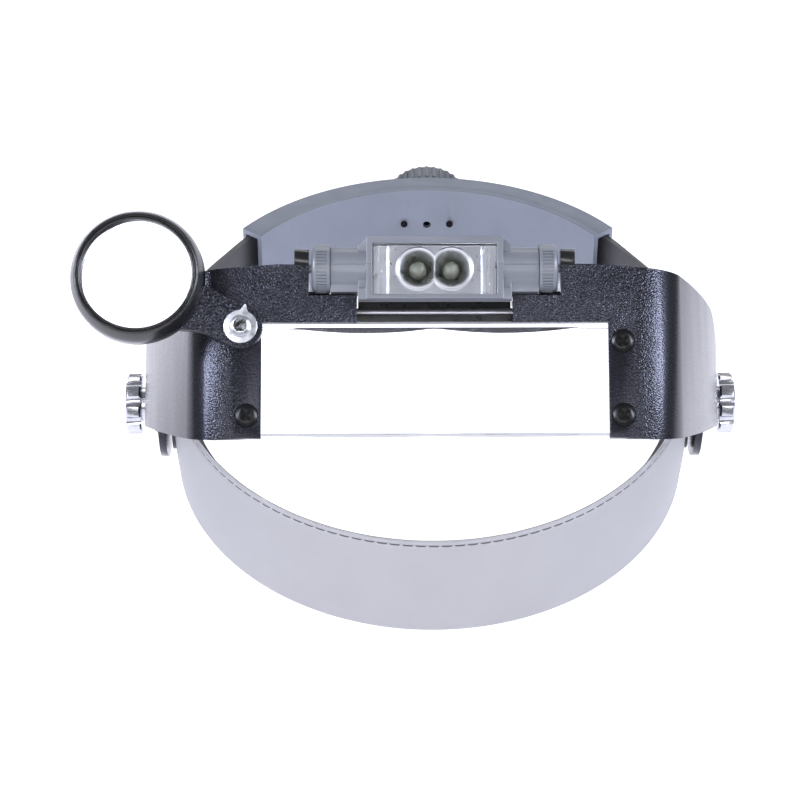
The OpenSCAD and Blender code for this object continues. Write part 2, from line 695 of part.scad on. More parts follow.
// a round crown that points to the back, its top on the origin's plane
module lens_crown(ball, reach, depth) {
  n = 20;
  rotate([90, 0, 0]) rotate_extrude($fn = 96)
    polygon(concat([for (i = [0 : n]) let (r = reach * i / n) [r, ball - sqrt(ball * ball - r * r)]],
      [[reach, depth], [0, depth]]));
}

// a twin lens: a flat plate whose back carries two decentred crowns with sloping tops
module twin_lens(front, rim, ball, swell, half, top, low) {
  reach = sqrt(ball * ball - (ball - swell) * (ball - swell));
  back = front - rim;
  block(-half, half, back, front, low, top);
  for (s = [0, 1]) mirror([s, 0, 0]) intersection() {
    side_plate([[back + 1, low], [back + 1, top - crown_inset], [back, top - crown_inset],
      [back - swell - 1, top - crown_inset - crown_slope * (swell + 1)], [back - swell - 1, low]],
      -eps, window_w / 2 - 0.2);
    translate([optic_x, -(back - swell), (top + low) / 2]) lens_crown(ball, reach, swell + 0.5);
  }
}

module main_lens() {
  color(clear) visor_frame() difference() {
    twin_lens(lens_f, lens_rim, main_lens_r, main_swell, lens_half, lens_top, lens_low);
    for (p = lens_screws_at) rod_f(screw_d / 2 + run_gap, p[0], p[1], lens_f - 8, lens_f + 1);
    rod_f(loupe_screw_d / 2 + run_gap, loupe_x, loupe_u, lens_f - 8, lens_f + 1);
  }
}

// bars that press the lens rims against the shell
module lens_clamp(side) {
  x0 = side > 0 ? clamp_x : -lens_half + 0.4;
  color(visor_black) visor_frame() difference() {
    block(x0, x0 + lens_half - 0.4 - clamp_x, clamp_f, clamp_f + clamp_t, lens_low + 1.5, lens_top - 0.1);
    for (p = lens_screws_at) rod_f(screw_d / 2 + run_gap, p[0], p[1], clamp_f - 1, lens_f);
    rod_f(loupe_screw_d / 2 + run_gap, loupe_x, loupe_u, clamp_f - 1, lens_f);
    translate([loupe_x, -clamp_f - nut_t - 0.1, loupe_u]) rotate([-90, 0, 0])
      cylinder(d = nut_d / cos(30) + 0.2, h = 4, $fn = 6);
  }
}

// cross-headed screws, sunk in their recesses; the cut ends at depth f
module cross_cut(x, u, f, w, l) {
  for (a = [45, 135]) translate([x, -f - 4, u]) rotate([0, a, 0]) translate([-l / 2, 0, -w / 2]) cube([l, 4, w]);
}
module lens_screws() {
  color(visor_black) visor_frame() for (p = lens_screws_at) difference() {
    union() {
      rod_f(screw_d / 2, p[0], p[1], clamp_f + 0.2, visor_depth - head_sunk + 0.1);
      rod_f(head_d / 2, p[0], p[1], visor_depth - head_sunk, visor_depth - 0.1);
      translate([p[0], -visor_depth + 0.1, p[1]]) rotate([90, 0, 0]) cylinder(r1 = head_d / 2, r2 = head_d / 2 - 1.1, h = 0.6);
    }
    cross_cut(p[0], p[1], visor_depth - 0.55, 0.9, 3.6);
  }
}

module flip_lens() {
  color(clear) visor_frame() twin_lens(flip_front, flip_rim, flip_lens_r, flip_swell, flip_half, flip_top, flip_low);
}

// arm that hangs the flip lens on its axle; the right one has a finger tab
module flip_arm(side) {
  x0 = side > 0 ? flip_arm_x : -flip_arm_x - flip_arm_t;
  back = flip_front - 4;
  color(visor_black) visor_frame() difference() {
    union() {
      side_plate([[back, flip_low - 0.6], [flip_front, flip_low - 0.6], [flip_front, flip_top - 1],
        [axle_f + 0.6, axle_u - 2], [axle_f - 1.6, axle_u + 1.4], [back, flip_top + 1.5]], x0, x0 + flip_arm_t);
      rod_x(flip_hub_r, x0, x0 + flip_arm_t, axle_f, axle_u);
      if (side > 0) block(x0 - 4, x0 + 1, back + 0.6, flip_front - 0.4, flip_low - 1.4, flip_low - 0.1);
    }
    rod_x(axle_d / 2 + run_gap, x0 - 1, x0 + flip_arm_t + 1, axle_f, axle_u);
  }
}

module flip_axle() {
  end = flip_arm_x + flip_arm_t;
  color(silver) visor_frame() rod_x(axle_d / 2, -end, end, axle_f, axle_u);
}

// the loupe's frame: its pivot screw at the origin, its arm along +X, f as in the visor
module loupe_frame() {
  visor_frame() translate([loupe_x, 0, loupe_u]) rotate([0, -loupe_angle, 0]) children();
}

module loupe_ring() {
  d = loupe_depth;
  side = [[0, 0], [loupe_r - 1.1, 0], [loupe_r - 0.3, 0.6], [loupe_r, 1.6], [loupe_r + 0.05, 3],
    [loupe_r, 5], [loupe_r - 0.3, 6.4], [loupe_r - 0.8, d - 2], [loupe_r - 1.2, d - 0.9],
    [loupe_r - 1.6, d], [0, d]];
  low = loupe_arm_w / 2;
  arm = [[0, -low], [loupe_reach, -low], [loupe_reach, low + 2], [loupe_reach - loupe_r + 2, low + 2],
    [loupe_reach - loupe_r - 1.5, low + 0.6], [loupe_reach - loupe_r - 5, low], [0, low]];
  color(visor_black) loupe_frame() difference() {
    union() {
      translate([loupe_reach, -loupe_f, 0]) rotate([90, 0, 0]) rotate_extrude($fn = 128) polygon(side);
      translate([0, -loupe_f, 0]) rotate([90, 0, 0]) linear_extrude(loupe_arm_t) polygon(arm);
      rod_f(loupe_arm_w / 2, 0, 0, loupe_f, arm_top);
    }
    rod_f(loupe_clear_r, loupe_reach, 0, loupe_f - 1, loupe_f + d + 1);
    rod_f(loupe_lens_r + run_gap, loupe_reach, 0, loupe_lens_f - loupe_seat, loupe_f + d + 1);
    rod_f(loupe_screw_d / 2 + run_gap, 0, 0, loupe_f - 1, arm_top + 1);
  }
}

// a lens that swells on both sides
module loupe_lens() {
  n = 16;
  edge = loupe_edge;
  sag = loupe_ball - sqrt(loupe_ball * loupe_ball - loupe_lens_r * loupe_lens_r);
  half = [for (i = [0 : n]) let (r = loupe_lens_r * i / n)
    [r, edge + sag - loupe_ball + sqrt(loupe_ball * loupe_ball - r * r)]];
  color(clear) loupe_frame() translate([loupe_reach, -loupe_lens_f, 0]) rotate([90, 0, 0])
    rotate_extrude($fn = 96) polygon(concat(half, [for (p = rev(half)) [p[0], -p[1]]]));
}

// thin ring that keeps the loupe lens in
module loupe_retainer() {
  f0 = loupe_lens_f + loupe_seat;
  color(visor_black) loupe_frame() difference() {
    rod_f(loupe_lens_r, loupe_reach, 0, f0, loupe_f + loupe_depth - 0.3);
    rod_f(loupe_clear_r, loupe_reach, 0, f0 - 4, loupe_f + loupe_depth + 1);
  }
}

module loupe_screw() {
  head_f = arm_top + prong_t + 2 * face_gap;
  color(silver) visor_frame() difference() {
    union() {
      rod_f(loupe_screw_d / 2, loupe_x, loupe_u, clamp_f + 0.1, head_f + 0.5);
      rod_f(3.1, loupe_x, loupe_u, head_f, head_f + 1.2);
      translate([loupe_x, -head_f - 1.2, loupe_u]) rotate([90, 0, 0]) cylinder(r1 = 3.1, r2 = 2.1, h = 0.7);
    }
    cross_cut(loupe_x, loupe_u, head_f + 0.6, 0.9, 3.6);
  }
}

// lock washer with one prong
module loupe_washer() {
  f0 = arm_top + face_gap;
  color(silver) visor_frame() difference() {
    union() {
      rod_f(4.8, loupe_x, loupe_u, f0, f0 + prong_t);
      translate([loupe_x, -f0 - prong_t, loupe_u]) rotate([0, 12, 0]) rotate([-90, 0, 0]) linear_extrude(prong_t)
        polygon([[-1.3, -4.2], [1.3, -4.2], [0.2, -6.6], [-0.2, -6.6]]);
    }
    rod_f(loupe_screw_d / 2 + run_gap, loupe_x, loupe_u, f0 - 1, f0 + 3);
  }
}

module loupe_spacer() {
  color(silver) visor_frame() difference() {
    rod_f(6, loupe_x, loupe_u, visor_depth, visor_depth + spacer_t);
    rod_f(loupe_screw_d / 2 + run_gap, loupe_x, loupe_u, visor_depth - 1, visor_depth + 3);
  }
}

module loupe_nut() {
  color(silver) visor_frame() difference() {
    translate([loupe_x, -clamp_f - nut_t, loupe_u]) rotate([-90, 0, 0]) cylinder(d = nut_d / cos(30), h = nut_t - 0.1, $fn = 6);
    rod_f(loupe_screw_d / 2 + run_gap, loupe_x, loupe_u, clamp_f - 1, lens_f);
  }
}

// the lamp's frame: its tilt axis along X through the origin, f and u as in the visor
module lamp_frame() {
  visor_frame() translate([0, -lamp_f, lamp_up]) children();
}

module lamp_body() {
  w = lamp_half_w;
  // middle box, with its top corners cut back
  translate([0, -4.4, 0]) rotate([-90, 0, 0]) linear_extrude(4.4 - box_back)
    polygon([[-bezel_half, -box_top], [bezel_half, -box_top], [w, -6.2], [w, 7], [-w, 7], [-w, -6.2]]);
  // bezel and the lip under it
  block(-bezel_half, bezel_half, 4.3, bezel_front, box_low, box_top);
  block(-w, w, lip_back, 6, box_low, floor_low - 0.5);
  rod_x(stub_r, -stub_half_l, stub_half_l, 0, 0);
  block(-stub_half_l, stub_half_l, -3, 3, -7.4, -5);
  rod_x(spigot_r, -stub_half_l - skirt_l, stub_half_l + skirt_l, 0, 0);
}

module lamp_hollow() {
  block(-win_half, win_half, -5.2, bezel_front + 1, floor_low, win_top);
  block(-win_half, win_half, lip_back + 0.8, bezel_front + 1, win_low, win_top);
  rod_x(tube_r, -stub_half_l - skirt_l - 1, stub_half_l + skirt_l + 1, 0, 0);
}

module lamp_shell(top) {
  color(lamp_grey) lamp_frame() difference() {
    lamp_body();
    lamp_hollow();
    block(-60, 60, -20, 20, top ? -30 : 0, top ? 0 : 30);
  }
}

// clear cover with moulded ribs at its sides
module lamp_window() {
  front = bezel_front - 0.4;
  color(clear) lamp_frame() {
    block(-win_half + face_gap, win_half - face_gap, front - win_t, front, win_low + face_gap, win_top - face_gap);
    for (x = [-15.6, -13.4, 13.6, 15.2]) block(x - 0.4, x + 0.4, front - eps, front + 0.3, win_low + 0.6, win_top - 0.6);
  }
}

// chromed plate with two overlapping cups
module lamp_reflector() {
  f1 = bezel_front - 0.4 - win_t - 0.2;
  color(chrome) lamp_frame() difference() {
    union() {
      block(-win_half + 0.3, win_half - 0.3, mirror_back, f1 - 0.9, win_low + 0.3, win_top - 0.3);
      block(-mirror_half, mirror_half, mirror_back, f1 - 0.5, win_low + 0.3, win_top - 0.3);
      for (s = [-1, 1]) {
        rod_f(cup_r + cup_wall, s * led_pitch / 2, optic_b, mirror_back, f1);
        rod_f(cup_r - 0.4, s * led_pitch / 2, optic_b, 0.6, mirror_back + 0.1);
      }
    }
    for (s = [-1, 1]) {
      translate([s * led_pitch / 2, -f1 - eps, optic_b]) rotate([-90, 0, 0]) cylinder(r1 = cup_r, r2 = led_d / 2 + 0.3, h = f1 - 1);
      rod_f(led_d / 2 + 0.3, s * led_pitch / 2, optic_b, -1, f1);
    }
  }
}

module led(side) {
  color([0.86, 0.88, 0.76]) lamp_frame() translate([side * led_pitch / 2, 0, optic_b]) {
    rod_f(led_d / 2 + 0.25, 0, 0, -1.4, -0.5);
    rod_f(led_d / 2, 0, 0, -1, 1.2);
    translate([0, -1.2, 0]) sphere(r = led_d / 2 - eps);
  }
}

module lamp_board() {
  color([0.16, 0.38, 0.24]) lamp_frame() block(-board_half, board_half, -2.5, -1.5, floor_low + pass_gap, win_top - 0.6);
}

module button_cells() {
  x0 = win_half + 1.6;
  color(silver) lamp_frame() for (s = [-1, 1], i = [0, 1]) {
    x = x0 + i * (cell_t + 0.1);
    rod_x(cell_d / 2, s > 0 ? x : -x - cell_t, s > 0 ? x + cell_t : -x, 0, 0);
  }
}

// leaf contacts between the cells and the board
module lamp_contacts() {
  color([0.80, 0.68, 0.36]) lamp_frame() for (s = [-1, 1]) {
    x0 = s > 0 ? win_half + 0.9 : -win_half - 1.5;
    rod_x(3.4, x0, x0 + 0.6, 0, 0);
  }
}

// ribbed cap with the pin that the lamp turns on; ribs leave a smooth top
module lamp_cap(side) {
  x0 = stub_half_l + 0.15;
  x1 = stub_half_l + cap_l;
  ribs = 29;
  color(lamp_grey) lamp_frame() mirror([side > 0 ? 0 : 1, 0, 0]) difference() {
    union() {
      rod_x(cap_r, x0, x1 - 1.2, 0, 0);
      for (i = [0 : 3]) {
        a0 = 90 * i / 4;
        a1 = 90 * (i + 1) / 4;
        translate([x1 - 1.2 + 1.2 * sin(a0), 0, 0]) rotate([0, 90, 0])
          cylinder(r1 = cap_r - 1.2 + 1.2 * cos(a0), r2 = cap_r - 1.2 + 1.2 * cos(a1), h = 1.2 * (sin(a1) - sin(a0)));
      }
      rod_x(pin_d / 2, x1 - 0.5, recess_half + lug_t - 0.2, 0, 0);
    }
    rod_x(spigot_r + run_gap, x0 - 1, x1 - cap_floor, 0, 0);
    for (i = [0 : ribs - 1]) {
      a = 66 + 236 * i / (ribs - 1);
      rotate([-a, 0, 0]) translate([x0 + 0.9, -0.27, cap_r - 0.45]) cube([cap_l - 2.4, 0.54, 1]);
    }
  }
}

// conical spring under each cap, drawn as its outline
module cap_spring(side) {
  x0 = win_half + 1.6 + 2 * (cell_t + 0.1) + 0.1;
  x1 = stub_half_l + cap_l - cap_floor - 0.05;
  color(silver) lamp_frame() mirror([side > 0 ? 0 : 1, 0, 0])
    translate([x0, 0, 0]) rotate([0, 90, 0]) cylinder(r1 = 1.8, r2 = 3.4, h = x1 - x0);
}

forehead_cover();
forehead_foam();
band_strip();
mirror([1, 0, 0]) temple_plate();  // temple_plate_left
temple_plate();  // temple_plate_right
mirror([1, 0, 0]) pivot_bolt();  // pivot_bolt_left
pivot_bolt();  // pivot_bolt_right
mirror([1, 0, 0]) washer_ring(washer_x, washer_d, strap_grey);  // friction_washer_left
washer_ring(washer_x, washer_d, strap_grey);  // friction_washer_right
mirror([1, 0, 0]) washer_ring(knob_washer_x, collar_d + 2, visor_black);  // knob_washer_left
washer_ring(knob_washer_x, collar_d + 2, visor_black);  // knob_washer_right
mirror([1, 0, 0]) temple_knob();  // temple_knob_left
temple_knob();  // temple_knob_right
mirror([1, 0, 0]) size_strap(-1);  // strap_left
size_strap(1);  // strap_right
rear_inner_cover();
rear_outer_cover();
cover_screws();
pinion();
adjuster_knob();
knob_screw();
visor_shell();
lens_crossbar();
main_lens();
lens_clamp(-1);  // lens_clamp_left
lens_clamp(1);  // lens_clamp_right
lens_screws();
flip_lens();
flip_arm(-1);  // flip_arm_left
flip_arm(1);  // flip_arm_right
flip_axle();
loupe_ring();
loupe_lens();
loupe_retainer();
loupe_screw();
loupe_washer();
loupe_spacer();
loupe_nut();
lamp_shell(true);  // lamp_top_shell
lamp_shell(false);  // lamp_bottom_shell
lamp_window();
lamp_reflector();
led(-1);  // led_left
led(1);  // led_right
lamp_board();
button_cells();
lamp_contacts();
lamp_cap(-1);  // lamp_cap_left
lamp_cap(1);  // lamp_cap_right
cap_spring(-1);  // cap_spring_left
cap_spring(1);  // cap_spring_right
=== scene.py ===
import json
import math

import bmesh
import bpy
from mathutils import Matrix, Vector

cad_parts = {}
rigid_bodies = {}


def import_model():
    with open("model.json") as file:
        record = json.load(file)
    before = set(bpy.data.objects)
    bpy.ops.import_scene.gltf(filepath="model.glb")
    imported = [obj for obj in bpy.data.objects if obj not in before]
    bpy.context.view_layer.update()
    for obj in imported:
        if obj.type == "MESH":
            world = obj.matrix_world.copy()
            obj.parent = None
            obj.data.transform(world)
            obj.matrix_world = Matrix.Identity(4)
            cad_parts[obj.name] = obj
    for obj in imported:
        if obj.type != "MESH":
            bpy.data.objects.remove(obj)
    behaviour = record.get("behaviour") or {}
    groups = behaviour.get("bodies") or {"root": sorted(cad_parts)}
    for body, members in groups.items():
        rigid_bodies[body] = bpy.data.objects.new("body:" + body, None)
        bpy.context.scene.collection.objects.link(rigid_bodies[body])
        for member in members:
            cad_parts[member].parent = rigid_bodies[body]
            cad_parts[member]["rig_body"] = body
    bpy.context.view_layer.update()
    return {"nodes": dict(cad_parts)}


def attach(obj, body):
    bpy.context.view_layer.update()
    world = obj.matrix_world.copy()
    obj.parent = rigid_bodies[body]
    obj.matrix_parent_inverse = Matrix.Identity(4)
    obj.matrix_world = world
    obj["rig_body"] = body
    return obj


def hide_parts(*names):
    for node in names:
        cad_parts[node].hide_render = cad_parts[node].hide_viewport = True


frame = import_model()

NODES = frame["nodes"]
MM = 0.001

# The visor's own directions: forward through the lenses, and up along its front.
PIVOT = Vector((0, 0, 17.5)) * MM
TILT = math.radians(48)
AHEAD = Vector((0, -math.cos(TILT), math.sin(TILT)))
UPWARD = Vector((0, math.sin(TILT), math.cos(TILT)))

# Places on the visor in mm, as (across, up). The lamp's axis is counted from the pivot, and the
# others from the lamp's axis.
LAMP_F, LAMP_U = 103.5, 21.0
CUP_X, CUP_U = 4.75, -0.9
CUP_R, LED_R = 5.45, 2.75
LOUPE_X, LOUPE_U = -84.5, -4.0
LOUPE_SCREW_X, LOUPE_SCREW_U = -55.2, -18.3


def lamp_point(x, f, u):
    """A point given in mm from the lamp's own axis: across, forward and up."""
    return PIVOT + (Vector((x, 0, 0)) + AHEAD * (LAMP_F + f) + UPWARD * (LAMP_U + u)) * MM


def off_axis(point, x, u):
    """Millimetres from a point to the line straight ahead through a place on the visor."""
    d = point - lamp_point(x, 0, u)
    return math.hypot(d.x, d.dot(UPWARD)) / MM


# ---------------------------------------------------------------- camera
CAM_TURN, CAM_RISE = math.radians(-1), math.radians(38)
CAM_DISTANCE = 0.85
CAM_LENS, CAM_SENSOR = 117.7, 36
# where the camera aims, from the pivot, in the picture's own directions
AIM_RIGHT, AIM_UP = -9.75, 0.975


def make_camera():
    level = math.cos(CAM_RISE)
    back = Vector((math.sin(CAM_TURN) * level, -math.cos(CAM_TURN) * level, math.sin(CAM_RISE)))
    right = Vector((math.cos(CAM_TURN), math.sin(CAM_TURN), 0))
    spot = PIVOT + back * CAM_DISTANCE
    aim = PIVOT + (right * AIM_RIGHT + back.cross(right) * AIM_UP) * MM
    cam = bpy.data.objects.new("camera", bpy.data.cameras.new("camera"))
    bpy.context.scene.collection.objects.link(cam)
    cam.data.sensor_width = CAM_SENSOR
    cam.data.lens = CAM_LENS
    cam.data.clip_start, cam.data.clip_end = 0.05, 20
    cam.location = spot
    cam.rotation_mode = "QUATERNION"
    cam.rotation_quaternion = (aim - spot).to_track_quat("-Z", "Y")
    bpy.context.scene.camera = cam


make_camera()
bpy.context.scene.view_settings.view_transform = "Standard"


# ---------------------------------------------------------------- node trees and materials
class Tree:
    """Adds shader nodes to a tree. An input is a plain value or another node's output."""

    def __init__(self, tree):
        self.tree = tree

    def add(self, kind, inputs=None, **attrs):
        n = self.tree.nodes.new("ShaderNode" + kind)
        for k, v in attrs.items():
            setattr(n, k, v)
        for k, v in (inputs or {}).items():
            if isinstance(v, bpy.types.NodeSocket):
                self.tree.links.new(v, n.inputs[k])
            else:
                n.inputs[k].default_value = v
        return n

    def calc(self, op, a, b=0.0):
        return self.add("Math", {0: a, 1: b}, operation=op).outputs[0]

    def mix(self, fac, a, b):
        """Shader b where fac is 1, and shader a elsewhere."""
        return self.add("MixShader", {0: fac, 1: a, 2: b}).outputs[0]


class Mat(Tree):
    """One Principled shader and the procedural nodes that feed it."""

    def __init__(self, name, color, rough=0.5, metal=0.0, **sockets):
        self.mat = bpy.data.materials.new(name)
        self.mat.use_nodes = True
        super().__init__(self.mat.node_tree)
        self.shader = self.tree.nodes["Principled BSDF"]
        self.set("Base Color", (*color, 1))
        self.set("Roughness", rough)
        self.set("Metallic", metal)
        for k, v in sockets.items():
            self.set(k.replace("_", " "), v)
        self.coord = None
        self.normal = None

    def set(self, socket, value):
        self.shader.inputs[socket].default_value = value

    def place(self, scale=(1, 1, 1)):
        """Object coordinates in millimetres, stretched by scale."""
        if self.coord is None:
            self.coord = self.add("TexCoord").outputs["Object"]
        stretch = [s / MM for s in scale]
        return self.add("Mapping", {"Vector": self.coord, "Scale": stretch}).outputs[0]

    def noise(self, size, detail=3, rough=0.5, scale=(1, 1, 1)):
        """Noise with features of about size mm."""
        return self.add("TexNoise", {"Vector": self.place(scale), "Scale": 1 / size,
                                     "Detail": detail, "Roughness": rough}).outputs["Fac"]

    def pebbles(self, size):
        """Rounded cells of about size mm."""
        return self.add("TexVoronoi", {"Vector": self.place(), "Scale": 1 / size},
                        feature="SMOOTH_F1").outputs["Distance"]

    def ramp(self, fac, stops):
        n = self.add("ValToRGB", {"Fac": fac})
        elements = n.color_ramp.elements
        while len(elements) < len(stops):
            elements.new(0.5)
        for e, (position, color) in zip(elements, stops):
            e.position = position
            e.color = (*color, 1)
        return n.outputs["Color"]

    def span(self, fac, lo, hi, to_lo=0.0, to_hi=1.0):
        return self.add("MapRange", {"Value": fac, "From Min": lo, "From Max": hi,
                                     "To Min": to_lo, "To Max": to_hi}).outputs["Result"]

    def dot(self, a, b):
        return self.add("VectorMath", {0: a, 1: b}, operation="DOT_PRODUCT").outputs["Value"]

    def facing(self, axis):
        """How squarely the surface faces along one of the piece's own directions, -1 to 1."""
        return self.dot(self.add("TexCoord").outputs["Normal"], axis)

    def along(self, axis, start=(0, 0, 0)):
        """Millimetres along an axis of the piece, counted from a point given in metres."""
        metres = self.place((MM, MM, MM))
        far = self.add("VectorMath", {0: metres, 1: start}, operation="SUBTRACT").outputs["Vector"]
        return self.calc("MULTIPLY", self.dot(far, axis), 1 / MM)

    def color(self, sock):
        self.tree.links.new(sock, self.shader.inputs["Base Color"])

    def roughness(self, sock):
        self.tree.links.new(sock, self.shader.inputs["Roughness"])

    def bump(self, sock, depth, strength=1.0):
        """Adds a height of depth mm to the bump that the shader has so far."""
        inputs = {"Height": sock, "Distance": depth * MM, "Strength": strength}
        if self.normal is not None:
            inputs["Normal"] = self.normal
        self.normal = self.add("Bump", inputs).outputs["Normal"]
        self.tree.links.new(self.normal, self.shader.inputs["Normal"])


def tint(c, k):
    return tuple(min(1, x * k) for x in c)


def mottled(m, c, fac, dark, light):
    """Spreads the colour a little, between c times dark and c times light."""
    m.color(m.ramp(fac, [(0.3, tint(c, dark)), (0.7, tint(c, light))]))


def uneven(m, fac, smooth, dull):
    """Spreads the roughness between two values."""
    m.roughness(m.span(fac, 0.3, 0.7, smooth, dull))


def moulded(name, c, rough=0.45, grain=0.0, grain_size=0.5, **sockets):
    """Moulded plastic: faint mottling, fine surface texture and uneven gloss."""
    m = Mat(name, c, rough, **sockets)
    mottled(m, c, m.noise(14, 4, 0.6), 0.94, 1.05)
    uneven(m, m.noise(5), rough - 0.05, rough + 0.06)
    m.bump(m.noise(0.35, 2), 0.02, 0.35)
    if grain:
        m.bump(m.noise(grain_size, 2), grain, 0.5)
    return m


def metal(name, c, rough=0.25, brush=(1, 1, 1), streak=0.4):
    """Bare or plated metal with fine streaks, stretched by brush."""
    m = Mat(name, c, rough, 1.0)
    lines = m.noise(streak, 3, 0.6, brush)
    mottled(m, c, m.noise(3, 4), 0.88, 1.06)
    uneven(m, lines, rough * 0.75, rough * 1.4)
    m.bump(lines, 0.01, 0.25)
    return m


def clear(name, c, ior):
    return Mat(name, c, 0.0, Transmission_Weight=1.0, IOR=ior)


def grained(name, depth, rough, size):
    """Black plastic with a moulded leather grain over a dark ground, the pebble tops lighter and
    bluish as painted glints.
    """
    ground, painted_glint_color = (0.010, 0.010, 0.013), (0.085, 0.085, 0.105)
    m = Mat(name, ground, rough, IOR=1.55, Specular_Tint=(0.5, 0.52, 0.66, 1))
    fine = m.noise(size * 0.75, 1)
    # the grain, and the painted glints with it, are deep on the front and faint on the walls
    wall, front, wall_share = 0.84, 0.985, 0.12
    ahead = m.span(m.facing(AHEAD), wall, front, wall_share, 1.0)
    # it fades in over these millimetres, so the frame beside the window stays nearly smooth
    beside, frame_share = (53, 60), 0.22
    above = (-3, 6)
    outer = m.span(m.calc("ABSOLUTE", m.along((1, 0, 0))), *beside)
    upper = m.span(m.along(UPWARD, PIVOT), *above)
    away = m.span(m.calc("MAXIMUM", outer, upper), 0, 1, frame_share, 1.0)
    deep = m.calc("MULTIPLY", ahead, away)
    # painted glints: where the grain is deep, the fine noise's high spots get a lighter, bluish
    # colour
    painted_glint_mask = m.calc("MULTIPLY", deep, m.span(fine, 0.52, 0.72))
    m.color(m.ramp(painted_glint_mask, [(0, ground), (0.4, tint(ground, 2.6)), (1, painted_glint_color)]))
    uneven(m, fine, rough - 0.03, rough + 0.05)
    m.bump(m.pebbles(size), -depth, deep)
    m.bump(fine, depth * 0.6, deep)
    return m


def padded_cloth():
    """Light grey coated cloth: fine weave, soft mottling and a slight sheen."""
    c = (0.555, 0.555, 0.62)
    m = Mat("pad_cover", c, 0.55, Sheen_Weight=0.15)
    mottled(m, c, m.noise(22, 4, 0.6), 0.97, 1.03)
    m.bump(m.noise(0.45, 2), 0.05, 0.35)
    m.bump(m.noise(6, 2), 0.25, 0.25)
    return m


def mirrored():
    """Metallised plastic: cups lightening towards their rim, a painted highlight ring on the
    raised rim with a darker band just outside it, and a streaky plate.
    """
    m = Mat("reflector_mirror", (0.4, 0.41, 0.46), 0.3, 1.0)
    dx = m.calc("SUBTRACT", m.calc("ABSOLUTE", m.along((1, 0, 0))), CUP_X)
    du = m.along(UPWARD, lamp_point(0, 0, CUP_U))
    r = m.calc("SQRT", m.calc("ADD", m.calc("MULTIPLY", dx, dx), m.calc("MULTIPLY", du, du)))
    reach = 10
    # a painted highlight ring on the raised rim, with a slightly darker band just outside it
    m.color(m.ramp(m.span(r, 0, reach), [
        (0.28, (0.3, 0.31, 0.29)), (0.52, (0.4, 0.41, 0.43)),
        (0.55, (0.52, 0.53, 0.57)), (0.6, (0.48, 0.49, 0.53)),
        (0.66, (0.26, 0.27, 0.3)), (1, (0.3, 0.31, 0.34))]))
    uneven(m, m.noise(2.5, 2), 0.26, 0.42)
    m.bump(m.noise(3.5, 1, 0.5, (1, 0.35, 0.35)), 0.06, 0.5)
    return m


M = {
    "visor": grained("visor_grain", 0.19, 0.25, 0.46),
    "loupe": grained("loupe_grain", 0.22, 0.26, 0.62),
    "loupe_gloss": moulded("loupe_gloss", (0.015, 0.015, 0.018), 0.2, grain=0.02),
    "black": moulded("black_smooth", (0.02, 0.02, 0.022), 0.3, grain=0.03),
    "black_screw": moulded("black_screw", (0.009, 0.009, 0.011), 0.32, Specular_IOR_Level=0.2),
    "dull_screw": moulded("cover_screw_black", (0.006, 0.006, 0.009), 0.6, Specular_IOR_Level=0.1),
    "strap": moulded("strap_grey", (0.07, 0.07, 0.08), 0.45, grain=0.04),
    "housing": moulded("housing_grey", (0.19, 0.218, 0.29), 0.42, grain=0.03),
    # painted light: a paler grey for the housing faces towards the head
    "housing_lit_side": moulded("housing_painted_light_grey", (0.34, 0.375, 0.49), 0.42, grain=0.03),
    # painted highlight: a light grey for the inner cover's rounded edge
    "housing_edge_highlight": moulded("housing_edge_painted_highlight", (0.46, 0.49, 0.56), 0.38),
    "knob_grey": moulded("adjuster_grey", (0.17, 0.185, 0.22), 0.45, grain=0.03),
    "lamp": moulded("lamp_grey", (0.255, 0.275, 0.34), 0.38, grain=0.02),
    "board": moulded("board_green", (0.03, 0.14, 0.06), 0.4),
    "led": moulded("led_resin", (0.085, 0.092, 0.076), 0.35),
    "mirror": mirrored(),
    # painted light: a pale grey for the loupe screw's cross recess
    "recess": moulded("screw_recess_painted_light", (0.4, 0.41, 0.45), 0.5),
    "steel": metal("steel", (0.72, 0.72, 0.74), 0.2),
    "chrome": metal("chrome_knob", (0.52, 0.52, 0.56), 0.22, brush=(0.2, 1, 1)),
    "axle": metal("axle_steel", (0.60, 0.59, 0.64), 0.5),
    "zinc": metal("zinc_plate", (0.5, 0.51, 0.54), 0.34, streak=1.6),
    "brass": metal("contact_brass", (0.72, 0.55, 0.25), 0.3),
    "lens": clear("lens_clear", (1, 1, 1), 1.12),
    "loupe_glass": clear("loupe_glass", (0.99, 0.99, 1.0), 1.45),
    "window": clear("lamp_cover_clear", (0.99, 0.99, 1.0), 1.2),
    # the lenses' cut edges: a dark grey as painted shade and a pale grey as painted light
    "ground": moulded("lens_edge_painted_shade", (0.05, 0.05, 0.056), 0.35),
    "lens_edge_lit": moulded("lens_edge_painted_light", (0.6, 0.61, 0.66), 0.35),
    "pad": padded_cloth(),
    "stitch": moulded("stitch_thread", (0.13, 0.13, 0.155), 0.7),
    "foam": moulded("sweat_foam", (0.10, 0.10, 0.108), 0.85, grain=0.12, grain_size=0.7),
}


# ---------------------------------------------------------------- mesh helpers
def body_of(node):
    return NODES[node]["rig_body"]


def new_object(name, me, mat, body, *replaced, slot=None):
    o = bpy.data.objects.new(name, me)
    bpy.context.scene.collection.objects.link(o)
    me.materials.clear()
    me.materials.append(M[mat].mat)
    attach(o, body)
    if replaced:
        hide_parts(*replaced)
    return o


def add_material(o, mat):
    """Gives the piece one more material, and returns its index."""
    o.data.materials.append(M[mat].mat)
    return len(o.data.materials) - 1


def paint(o, mat, test):
    """Gives the faces whose centre and normal pass the test another material."""
    index = add_material(o, mat)
    for p in o.data.polygons:
        if test(p.center, p.normal):
            p.material_index = index


def smooth(me):
    for p in me.polygons:
        p.use_smooth = True


def bevel(o, width, segments=3, angle=30):
    b = o.modifiers.new("bevel", "BEVEL")
    b.width = width * MM
    b.segments = segments
    b.limit_method = "ANGLE"
    b.angle_limit = math.radians(angle)
    b.use_clamp_overlap = True
    b.harden_normals = True


